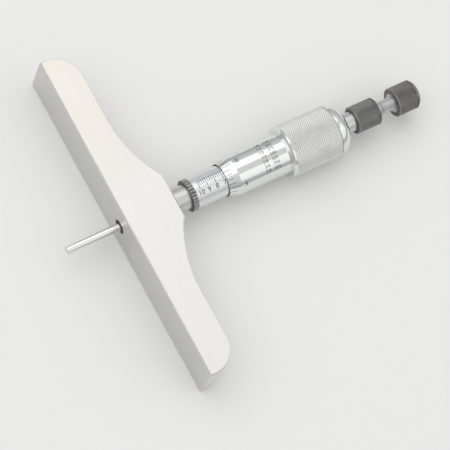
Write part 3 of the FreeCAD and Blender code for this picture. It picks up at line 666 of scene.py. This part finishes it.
def thread_tree():
    """A helical ridge of triangular section round the X axis."""
    t = GeometryTree(
        "Thread ridge",
        [
            ("Turns", "NodeSocketFloat", 8.0),
            ("Length", "NodeSocketFloat", 0.004),
            ("Start", "NodeSocketFloat", 0.0),
            ("Root Radius", "NodeSocketFloat", 0.0019),
            ("Height", "NodeSocketFloat", 0.00015),
            ("Width", "NodeSocketFloat", 0.0004),
            ("Finish", "NodeSocketMaterial", None),
        ],
    )
    spiral = t.node(
        "GeometryNodeCurveSpiral",
        None,
        {
            "Resolution": 40,
            "Rotations": t.given("Turns"),
            "Start Radius": t.given("Root Radius"),
            "End Radius": t.given("Root Radius"),
            "Height": t.given("Length"),
        },
    )
    upright = t.node("GeometryNodeSetCurveNormal", {"mode": "Z_UP"}, {0: spiral.outputs[0]})
    section = t.node("GeometryNodeCurvePrimitiveCircle", {"mode": "RADIUS"}, {"Resolution": 4, "Radius": 1.0})
    sized = t.node(
        "GeometryNodeTransform",
        None,
        {
            0: section.outputs[0],
            "Scale": t.node(
                "ShaderNodeCombineXYZ",
                None,
                {0: t.given("Height"), 1: t.math("MULTIPLY", t.given("Width"), 0.5), 2: 1.0},
            ).outputs[0],
        },
    )
    swept = t.node(
        "GeometryNodeCurveToMesh",
        None,
        {0: upright.outputs[0], "Profile Curve": sized.outputs[0], "Fill Caps": True},
    )
    start = t.node("ShaderNodeCombineXYZ", None, {0: t.given("Start"), 1: 0.0, 2: 0.0})
    laid = t.node(
        "GeometryNodeTransform",
        None,
        {
            0: swept.outputs[0],
            "Rotation": (0.0, math.pi / 2, 0.0),
            "Translation": start.outputs[0],
        },
    )
    t.finish(laid.outputs[0], t.given("Finish"))
    return t


def add_piece(name, mesh, body):
    """Links a finished mesh as a piece that rides on a body."""
    mesh.name = name
    piece = bpy.data.objects.new(name, mesh)
    bpy.context.scene.collection.objects.link(piece)
    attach(piece, body)
    return piece


def smooth(mesh, angle=11.0):
    """Smooth shading, with creases at edges that turn by more than the angle."""
    for face in mesh.polygons:
        face.use_smooth = True
    mesh.set_sharp_from_angle(angle=math.radians(angle))


def lettering(text, height, proud):
    """Text as a closed flat mesh, sliced so that it can follow a round surface."""
    curve = bpy.data.curves.new("lettering", "FONT")
    curve.body = text
    curve.size = height / FIGURE_SHARE
    curve.align_x = "CENTER"
    curve.align_y = "CENTER"
    curve.extrude = (proud + INK_SINK) / 2
    curve.resolution_u = 3
    host = bpy.data.objects.new("lettering", curve)
    bpy.context.scene.collection.objects.link(host)
    graph = bpy.context.evaluated_depsgraph_get()
    mesh = bpy.data.meshes.new_from_object(host.evaluated_get(graph))
    bpy.data.objects.remove(host)
    shape = bmesh.new()
    shape.from_mesh(mesh)
    bmesh.ops.remove_doubles(shape, verts=shape.verts, dist=1e-7)
    for vertex in shape.verts:
        vertex.co.z += (proud - INK_SINK) / 2
    for index in range(1, LETTER_SLICES):
        level = height * (index / LETTER_SLICES - 0.5)
        whole = list(shape.verts) + list(shape.edges) + list(shape.faces)
        bmesh.ops.bisect_plane(shape, geom=whole, plane_co=(0, level, 0), plane_no=(0, 1, 0))
    bpy.data.meshes.remove(mesh)
    return shape


def wrap(shape, station, angle, radius):
    """Lays flat lettering on a cylinder round the X axis. The angle runs from +Z towards +Y."""
    for vertex in shape.verts:
        round_to = angle + vertex.co.y / radius
        reach = radius + vertex.co.z
        vertex.co = Vector((station + vertex.co.x, reach * math.sin(round_to), reach * math.cos(round_to)))


def gather(shapes, name, material):
    """One plain mesh of several shapes."""
    whole = bmesh.new()
    for shape in shapes:
        part = bpy.data.meshes.new("part")
        shape.to_mesh(part)
        shape.free()
        whole.from_mesh(part)
        bpy.data.meshes.remove(part)
    bmesh.ops.recalc_face_normals(whole, faces=whole.faces)
    mesh = bpy.data.meshes.new(name)
    whole.to_mesh(mesh)
    whole.free()
    mesh.materials.append(material)
    return mesh


def turned_mesh(name, rings, angles, dent=None):
    """A closed turned shape: rings of (station, radius) in millimetres, in order round the section.
    The angles run from +Z towards +Y, and dent gives the depth of a mark at a ring and an angle."""
    shape = bmesh.new()
    rows = []
    for station, radius in rings:
        row = []
        for angle in angles:
            reach = radius - (dent(station, radius, angle) if dent else 0.0)
            place = (station * MM, reach * math.sin(angle) * MM, reach * math.cos(angle) * MM)
            row.append(shape.verts.new(place))
        rows.append(row)
    count = len(angles)
    for i, row in enumerate(rows):
        after = rows[(i + 1) % len(rows)]
        for j in range(count):
            k = (j + 1) % count
            shape.faces.new((row[j], row[k], after[k], after[j]))
    bmesh.ops.remove_doubles(shape, verts=shape.verts, dist=1e-8)
    bmesh.ops.recalc_face_normals(shape, faces=shape.faces)
    mesh = bpy.data.meshes.new(name)
    shape.to_mesh(mesh)
    shape.free()
    return mesh


def mark_angles(count, first, half_floor, half_top, between):
    """Angles round a turned piece, with four at each mark and a few evenly set between two marks."""
    angles = []
    sector = 2.0 * math.pi / count
    for mark in range(count):
        middle = first - sector * mark
        angles += [middle + half_top, middle + half_floor, middle - half_floor, middle - half_top]
        gap = sector - 2.0 * half_top
        angles += [middle - half_top - gap * step / (between + 1) for step in range(1, between + 1)]
    return angles


def thimble_rings(grip):
    """The thimble's section, from its bore at the front edge round to the bore again."""
    front = THIMBLE_FRONT
    slope = (THIMBLE_RADIUS - LIP_RADIUS) / BEVEL_LENGTH
    floor = GRIP_RADIUS - (grip.depth + grip.wall / 3) / MM
    rings = [(front, BORE_RADIUS)]
    bevel = [0.0, FRONT_RIM, SHORT_MARK - MARK_END, SHORT_MARK, LONG_MARK - MARK_END, LONG_MARK, BEVEL_LENGTH]
    for reach in bevel:
        rings.append((front + reach, LIP_RADIUS + slope * reach))
    rings += [
        (front + GRIP_START - GRIP_FOOT, THIMBLE_RADIUS),
        (front + GRIP_START, THIMBLE_RADIUS + GRIP_FOOT),
        (front + GRIP_START, GRIP_RADIUS - GRIP_BREAK),
        (front + GRIP_START + GRIP_BREAK, GRIP_RADIUS),
        (KNURL_START, GRIP_RADIUS),
        (KNURL_START, floor),
        (KNURL_END, floor),
        (KNURL_END, GRIP_RADIUS),
    ]
    for step in range(SHOULDER_STEPS + 1):
        bend = 0.5 * math.pi * step / SHOULDER_STEPS
        station = front + THIMBLE_LENGTH - SHOULDER_RADIUS * (1.0 - math.sin(bend))
        rings.append((station, GRIP_RADIUS - SHOULDER_RADIUS * (1.0 - math.cos(bend))))
    rear = front + THIMBLE_LENGTH
    rings += [(rear, TAPER_END), (rear - END_WALL, TAPER_SEAT), (rear - END_WALL, BORE_RADIUS)]
    return rings


class MICROMETER_OT_finishes(Operator):
    """Gives each CAD node its finish"""

    bl_idname = "micrometer.finishes"
    bl_label = "Finishes"

    def execute(self, context):
        turned = turned_steel()
        hardened = turned_steel("hardened_steel", "hardened")
        tones = chosen_colours()
        bronze = small_metal("bronze", tones.bronze, (0.42, 0.27, 0.14), 0.28)
        dressed = {
            "base": ground_steel(),
            "barrel": turned,
            "rod_guide_bush": bronze,
            "lock_ring": black_oxide("lock_ring_oxide", LOCK_RING_RADIUS, "oxide"),
            "lock_pin": hardened,
            "graduated_sleeve": satin_chrome("satin_chrome_inked", inked=True),
            "adjusting_nut": turned,
            "micrometer_screw": hardened,
            "thimble": satin_chrome(),
            "ratchet_hub": turned,
            "ratchet_clutch": hardened,
            "ratchet_barrel": black_oxide("ratchet_oxide", RATCHET_RADIUS, "oxide"),
            "ratchet_spring": small_metal("spring_steel", tones.spring, (0.33, 0.33, 0.36), 0.22),
            "ratchet_snap_ring": black_oxide("snap_ring_oxide", CAP_RADIUS, "oxide"),
            "rod_seat": turned,
            "measuring_rod": polished_steel(),
            "rod_adjusting_nut": turned,
            "rod_jam_nut": turned,
            "rod_cap": black_oxide("cap_oxide", CAP_RADIUS, "cap"),
            "cap_thrust_pad": bronze,
        }
        missing = set(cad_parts) - set(dressed)
        if missing:
            raise RuntimeError(f"no finish for {sorted(missing)}")
        for node, material in dressed.items():
            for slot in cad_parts[node].material_slots:
                slot.material = material
        return {"FINISHED"}


class MICROMETER_OT_thimble(Operator):
    """Makes the thimble with its inked bevel and its diamond knurl"""

    bl_idname = "micrometer.thimble"
    bl_label = "Thimble"

    def execute(self, context):
        grip = context.scene.micrometer_grip
        half = MARK_HALF_WIDTH / THIMBLE_RADIUS
        sector = 2.0 * math.pi / THIMBLE_MARKS
        datum = math.radians(DATUM_ANGLE)

        def dent(station, radius, angle):
            mark = round((datum - angle) / sector)
            off = abs(angle - datum + mark * sector)
            reach = SHORT_MARK if mark % (THIMBLE_MARKS // NUMBERED_MARKS) else LONG_MARK
            on_bevel = LIP_RADIUS - NEAR < radius and station < THIMBLE_FRONT + reach - NEAR
            return MARK_DEPTH if on_bevel and off < half * (1.0 + MARK_FLOOR_SHARE) / 2 else 0.0

        angles = mark_angles(THIMBLE_MARKS, datum, half * MARK_FLOOR_SHARE, half, STEPS_BETWEEN_MARKS)
        mesh = turned_mesh("thimble_dressed", thimble_rings(grip), angles, dent)
        mesh.materials.append(bpy.data.materials["satin_chrome"])
        mesh.materials.append(mark_ink())
        ink_marks(mesh)
        depth, wall = grip.depth / MM, grip.wall / MM
        band = (KNURL_START, KNURL_END, GRIP_RADIUS)
        values = knurl_values(band, (grip.columns, grip.rows), depth, wall, knurled_chrome())
        knurl = knurl_tree().mesh("knurl", values)
        smooth(mesh)
        body = add_piece("thimble_dressed", mesh, "screw_body")
        add_piece("thimble_knurl", knurl, "screw_body")
        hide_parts("thimble")
        return {"FINISHED"}


def ink_marks(mesh):
    """Gives the floors of the bevel's marks to the ink."""
    slope = (THIMBLE_RADIUS - LIP_RADIUS) / BEVEL_LENGTH
    for face in mesh.polygons:
        depths = []
        for index in face.vertices:
            point = mesh.vertices[index].co
            ahead = point.x / MM - THIMBLE_FRONT
            cone = LIP_RADIUS + slope * ahead
            depths.append(cone - math.hypot(point.y, point.z) / MM if ahead < BEVEL_LENGTH else -1.0)
        if min(depths) > 0.9 * MARK_DEPTH and max(depths) < 1.5 * MARK_DEPTH:
            face.material_index = 1


def knurl_values(band, counts, depth, wall, finish):
    """Inputs of a knurled ring that fills a groove: the band is the groove's start, end and outer radius,
    the counts are columns and rows, and the sizes are in millimetres."""
    start, end, radius = band
    columns, rows = counts
    return {
        "Columns": columns,
        "Rows": rows,
        "Start": (start + KNURL_GAP) * MM,
        "End": (end - KNURL_GAP) * MM,
        "Outer Radius": radius * MM,
        "Inner Radius": (radius - depth - wall) * MM,
        "Depth": depth * MM,
        "Finish": finish,
    }


def even_angles(count):
    """Angles evenly set round a turned piece."""
    return [-2.0 * math.pi * step / count for step in range(count)]


class MICROMETER_OT_knobs(Operator):
    """Makes the ratchet barrel and the rod cap with their fine knurls"""

    bl_idname = "micrometer.knobs"
    bl_label = "Ratchet barrel and cap"

    def execute(self, context):
        depth = context.scene.micrometer_grip.knob_depth / MM
        tree = knurl_tree()
        start, end = edge("ratchet_barrel", 0), edge("ratchet_barrel", 1)
        low, high = start + KNOB_MARGIN, end - KNOB_MARGIN
        outer, corner, wall = RATCHET_RADIUS, RATCHET_BREAK, end - RATCHET_END_WALL
        floor = outer - KNOB_FLOOR_SHARE * depth
        rings = [(start, RATCHET_BORE), (start, outer - corner), (start + corner, outer)]
        rings += [(low, outer), (low, floor), (high, floor), (high, outer)]
        rings += [(end - corner, outer), (end, outer - corner), (end, RATCHET_TAIL_HOLE)]
        rings += [(wall, RATCHET_TAIL_HOLE), (wall, RATCHET_BORE)]
        finish = bpy.data.materials["ratchet_oxide"]
        counts = (RATCHET_COLUMNS, RATCHET_ROWS)
        self.add_knob(tree, "ratchet", rings, (low, high, outer), counts, depth, finish)
        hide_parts("ratchet_barrel")
        start, end = edge("rod_cap", 0), edge("rod_cap", 1)
        low, high = start + KNOB_MARGIN, end - CAP_REAR_BREAK - CAP_REAR_MARGIN
        outer, wall = CAP_RADIUS, end - CAP_END_WALL
        floor = outer - KNOB_FLOOR_SHARE * depth
        rings = [(start, CAP_BORE), (start, outer - CAP_FRONT_BREAK), (start + CAP_FRONT_BREAK, outer)]
        rings += [(low, outer), (low, floor), (high, floor), (high, outer)]
        rings += [(end - CAP_REAR_BREAK, outer), (end, outer - CAP_REAR_BREAK), (end, CAP_END_RING)]
        rings += [(end, 0.0), (wall, 0.0), (wall, CAP_BORE)]
        finish = bpy.data.materials["cap_oxide"]
        counts = (CAP_COLUMNS, CAP_ROWS)
        self.add_knob(tree, "cap", rings, (low, high, outer), counts, depth, finish)
        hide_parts("rod_cap")
        return {"FINISHED"}

    def add_knob(self, tree, name, rings, band, counts, depth, finish):
        """Adds a turned shell and the knurled ring in its groove."""
        body = f"{name}_body"
        shell = turned_mesh(f"{name}_shell", rings, even_angles(KNOB_SIDES))
        shell.materials.append(finish)
        smooth(shell)
        add_piece(f"{name}_shell", shell, body)
        values = knurl_values(band, counts, depth, depth, finish)
        add_piece(f"{name}_knurl", tree.mesh(f"{name}_knurl", values), body)


class MICROMETER_OT_numbers(Operator):
    """Puts the numbers on the sleeve and on the thimble"""

    bl_idname = "micrometer.numbers"
    bl_label = "Numbers"

    def execute(self, context):
        marks = context.scene.micrometer_marks
        ink = bpy.data.materials["mark_ink"]
        centre = DATUM_ANGLE - LONG_MARK_SWEEP
        drop = math.degrees((marks.sleeve_height * 0.5 + SLEEVE_NUMBER_GAP * MM) / (SLEEVE_RADIUS * MM))
        shapes = []
        for number in range(SLEEVE_NUMBERS):
            shape = lettering(str(number), marks.sleeve_height, marks.proud)
            station = (SLEEVE_ZERO - SLEEVE_STEP * number) * MM
            wrap(shape, station, math.radians(centre - drop), SLEEVE_RADIUS * MM)
            shapes.append(shape)
        add_piece("sleeve_numbers", gather(shapes, "sleeve_numbers", ink), "frame")
        shapes = []
        for mark in range(0, THIMBLE_MARKS, THIMBLE_MARKS // NUMBERED_MARKS):
            shape = lettering(str(mark), marks.thimble_height, marks.proud)
            station = (THIMBLE_FRONT + BEVEL_LENGTH + THIMBLE_NUMBER_GAP) * MM
            angle = math.radians(DATUM_ANGLE) - 2.0 * math.pi * mark / THIMBLE_MARKS
            wrap(shape, station, angle, THIMBLE_RADIUS * MM)
            shapes.append(shape)
        add_piece("thimble_numbers", gather(shapes, "thimble_numbers", ink), "screw_body")
        shapes = []
        for row in range(1, TABLE_PARTS):
            share = Fraction(row, TABLE_PARTS)
            label = f"{share.numerator}/{share.denominator}"
            value = f".{1000 * row // TABLE_PARTS}"
            for text, shift in ((label, TABLE_LABEL_SHIFT), (value, TABLE_VALUE_SHIFT)):
                shape = lettering(text, marks.table_height, marks.proud)
                station = (THIMBLE_FRONT + TABLE_STATION + shift) * MM
                angle = math.radians(TABLE_TURN - TABLE_STEP * row)
                wrap(shape, station, angle, THIMBLE_RADIUS * MM)
                shapes.append(shape)
        add_piece("decimal_table", gather(shapes, "decimal_table", ink), "screw_body")
        return {"FINISHED"}


class MICROMETER_OT_tail(Operator):
    """Cuts the thread on the tail of the screw, where the cap goes on"""

    bl_idname = "micrometer.tail"
    bl_label = "Tail thread"

    def execute(self, context):
        tail = context.scene.micrometer_tail
        reach = (TAIL_THREAD_END - TAIL_THREAD_START) * MM
        mesh = thread_tree().mesh(
            "tail_thread",
            {
                "Turns": reach / tail.pitch,
                "Length": reach,
                "Start": TAIL_THREAD_START * MM,
                "Root Radius": TAIL_RADIUS * MM,
                "Height": tail.height,
                "Width": tail.pitch * TAIL_THREAD_SHARE,
                "Finish": bpy.data.materials["turned_steel"],
            },
        )
        smooth(mesh, TAIL_SHARP_ANGLE)
        add_piece("tail_thread", mesh, "screw_body")
        return {"FINISHED"}


class MICROMETER_OT_stage(Operator):
    """Makes the floor, the lamps, the surroundings and the camera"""

    bl_idname = "micrometer.stage"
    bl_label = "Stage"

    def execute(self, context):
        stage = context.scene.micrometer_stage
        low, high = (Vector(corner) for corner in CAD_BOX)
        middle = (low + high) / 2
        make_floor(low.z, stage)
        make_surroundings(context.scene, stage)
        add_lamp("key_lamp", middle + Vector(KEY_PLACE), middle, KEY_SIZE, stage.key_power)
        add_lamp("fill_lamp", middle + Vector(FILL_PLACE), middle, FILL_SIZE, stage.fill_power)
        make_camera(context.scene, stage, Vector(stage.aim))
        context.scene.view_settings.view_transform = "Standard"
        return {"FINISHED"}


def make_floor(level, stage):
    """A wide pale sheet that lies just under the object."""
    shape = bmesh.new()
    bmesh.ops.create_grid(shape, x_segments=2, y_segments=2, size=FLOOR_REACH)
    for vertex in shape.verts:
        vertex.co.z = level - FLOOR_GAP
    mesh = bpy.data.meshes.new("floor")
    shape.to_mesh(mesh)
    shape.free()
    f = Finish("pale_floor")
    paper = f.stretched((0.4, 0.4, 0.4), 3.0)
    tone = f.blend(paper * 0.12, stage.floor, tuple(0.94 * part for part in stage.floor))
    inputs = {"Base Color": tone, "Roughness": 0.9, "Specular IOR Level": 0.1}
    surface = f.node("ShaderNodeBsdfPrincipled", None, inputs)
    f.node("ShaderNodeOutputMaterial", None, {"Surface": surface})
    mesh.materials.append(f.material)
    floor = bpy.data.objects.new("floor", mesh)
    bpy.context.scene.collection.objects.link(floor)


def make_surroundings(scene, stage):
    """Soft surroundings: bright overhead, quieter towards the horizon."""
    world = bpy.data.worlds.new("surroundings")
    scene.world = world
    world.use_nodes = True
    tree = world.node_tree
    tree.nodes.clear()
    where = tree.nodes.new("ShaderNodeTexCoord")
    parts = tree.nodes.new("ShaderNodeSeparateXYZ")
    ramp = tree.nodes.new("ShaderNodeValToRGB")
    ramp.color_ramp.elements[0].position = 0.0
    ramp.color_ramp.elements[0].color = (0.55, 0.56, 0.58, 1.0)
    ramp.color_ramp.elements[1].position = 0.8
    ramp.color_ramp.elements[1].color = (1.0, 1.0, 1.0, 1.0)
    glow = tree.nodes.new("ShaderNodeBackground")
    glow.inputs["Strength"].default_value = stage.sky
    end = tree.nodes.new("ShaderNodeOutputWorld")
    tree.links.new(where.outputs["Generated"], parts.inputs[0])
    tree.links.new(parts.outputs["Z"], ramp.inputs["Fac"])
    tree.links.new(ramp.outputs["Color"], glow.inputs["Color"])
    tree.links.new(glow.outputs[0], end.inputs["Surface"])


def add_lamp(name, place, target, size, power):
    """A large soft lamp that points at the object."""
    light = bpy.data.lights.new(name, "AREA")
    light.shape = "RECTANGLE"
    light.size, light.size_y = size
    light.energy = power
    lamp = bpy.data.objects.new(name, light)
    lamp.location = place
    lamp.rotation_euler = (target - place).to_track_quat("-Z", "Y").to_euler()
    bpy.context.scene.collection.objects.link(lamp)


def make_camera(scene, stage, aim):
    """The camera: it looks at the aim, turned about its own axis by the roll."""
    a, e, roll = stage.azimuth, stage.elevation, stage.roll
    back = Vector((math.sin(a) * math.cos(e), -math.cos(a) * math.cos(e), math.sin(e)))
    level = Vector((math.cos(a), math.sin(a), 0.0))
    upright = back.cross(level)
    right = level * math.cos(roll) + upright * math.sin(roll)
    up = back.cross(right)
    data = bpy.data.cameras.new("camera")
    data.lens = stage.lens
    data.sensor_width = 36.0
    data.clip_start = 0.01
    data.clip_end = 20.0
    camera = bpy.data.objects.new("camera", data)
    facing = Matrix((right, up, back)).transposed().to_4x4()
    camera.matrix_world = Matrix.Translation(aim + back * stage.distance) @ facing
    scene.collection.objects.link(camera)
    scene.camera = camera


class MICROMETER_PT_panel(Panel):
    """Lists the steps that dress the micrometer"""

    bl_idname = "MICROMETER_PT_panel"
    bl_label = "Depth micrometer"
    bl_space_type = "VIEW_3D"
    bl_region_type = "UI"
    bl_category = "Micrometer"

    def draw(self, context):
        for step in STEPS:
            self.layout.operator(step.bl_idname)
        for group in GROUPS:
            box = self.layout.box()
            owner = getattr(context.scene, group)
            for key in GROUPS[group].__annotations__:
                box.prop(owner, key)


GROUPS = {
    "micrometer_finishes": MicrometerFinishes,
    "micrometer_grip": MicrometerGrip,
    "micrometer_marks": MicrometerMarks,
    "micrometer_tail": MicrometerTail,
    "micrometer_stage": MicrometerStage,
}

STEPS = (
    MICROMETER_OT_finishes,
    MICROMETER_OT_thimble,
    MICROMETER_OT_knobs,
    MICROMETER_OT_numbers,
    MICROMETER_OT_tail,
    MICROMETER_OT_stage,
)


def register():
    for group in GROUPS.values():
        bpy.utils.register_class(group)
    for step in (*STEPS, MICROMETER_PT_panel):
        bpy.utils.register_class(step)
    for name, group in GROUPS.items():
        setattr(bpy.types.Scene, name, PointerProperty(type=group))


def unregister():
    for name in GROUPS:
        delattr(bpy.types.Scene, name)
    for step in reversed((*STEPS, MICROMETER_PT_panel)):
        bpy.utils.unregister_class(step)
    for group in reversed(GROUPS.values()):
        bpy.utils.unregister_class(group)


def main():
    register()
    bpy.ops.micrometer.finishes()
    bpy.ops.micrometer.thimble()
    bpy.ops.micrometer.knobs()
    bpy.ops.micrometer.numbers()
    bpy.ops.micrometer.tail()
    bpy.ops.micrometer.stage()


if __name__ == "__main__":
    main()
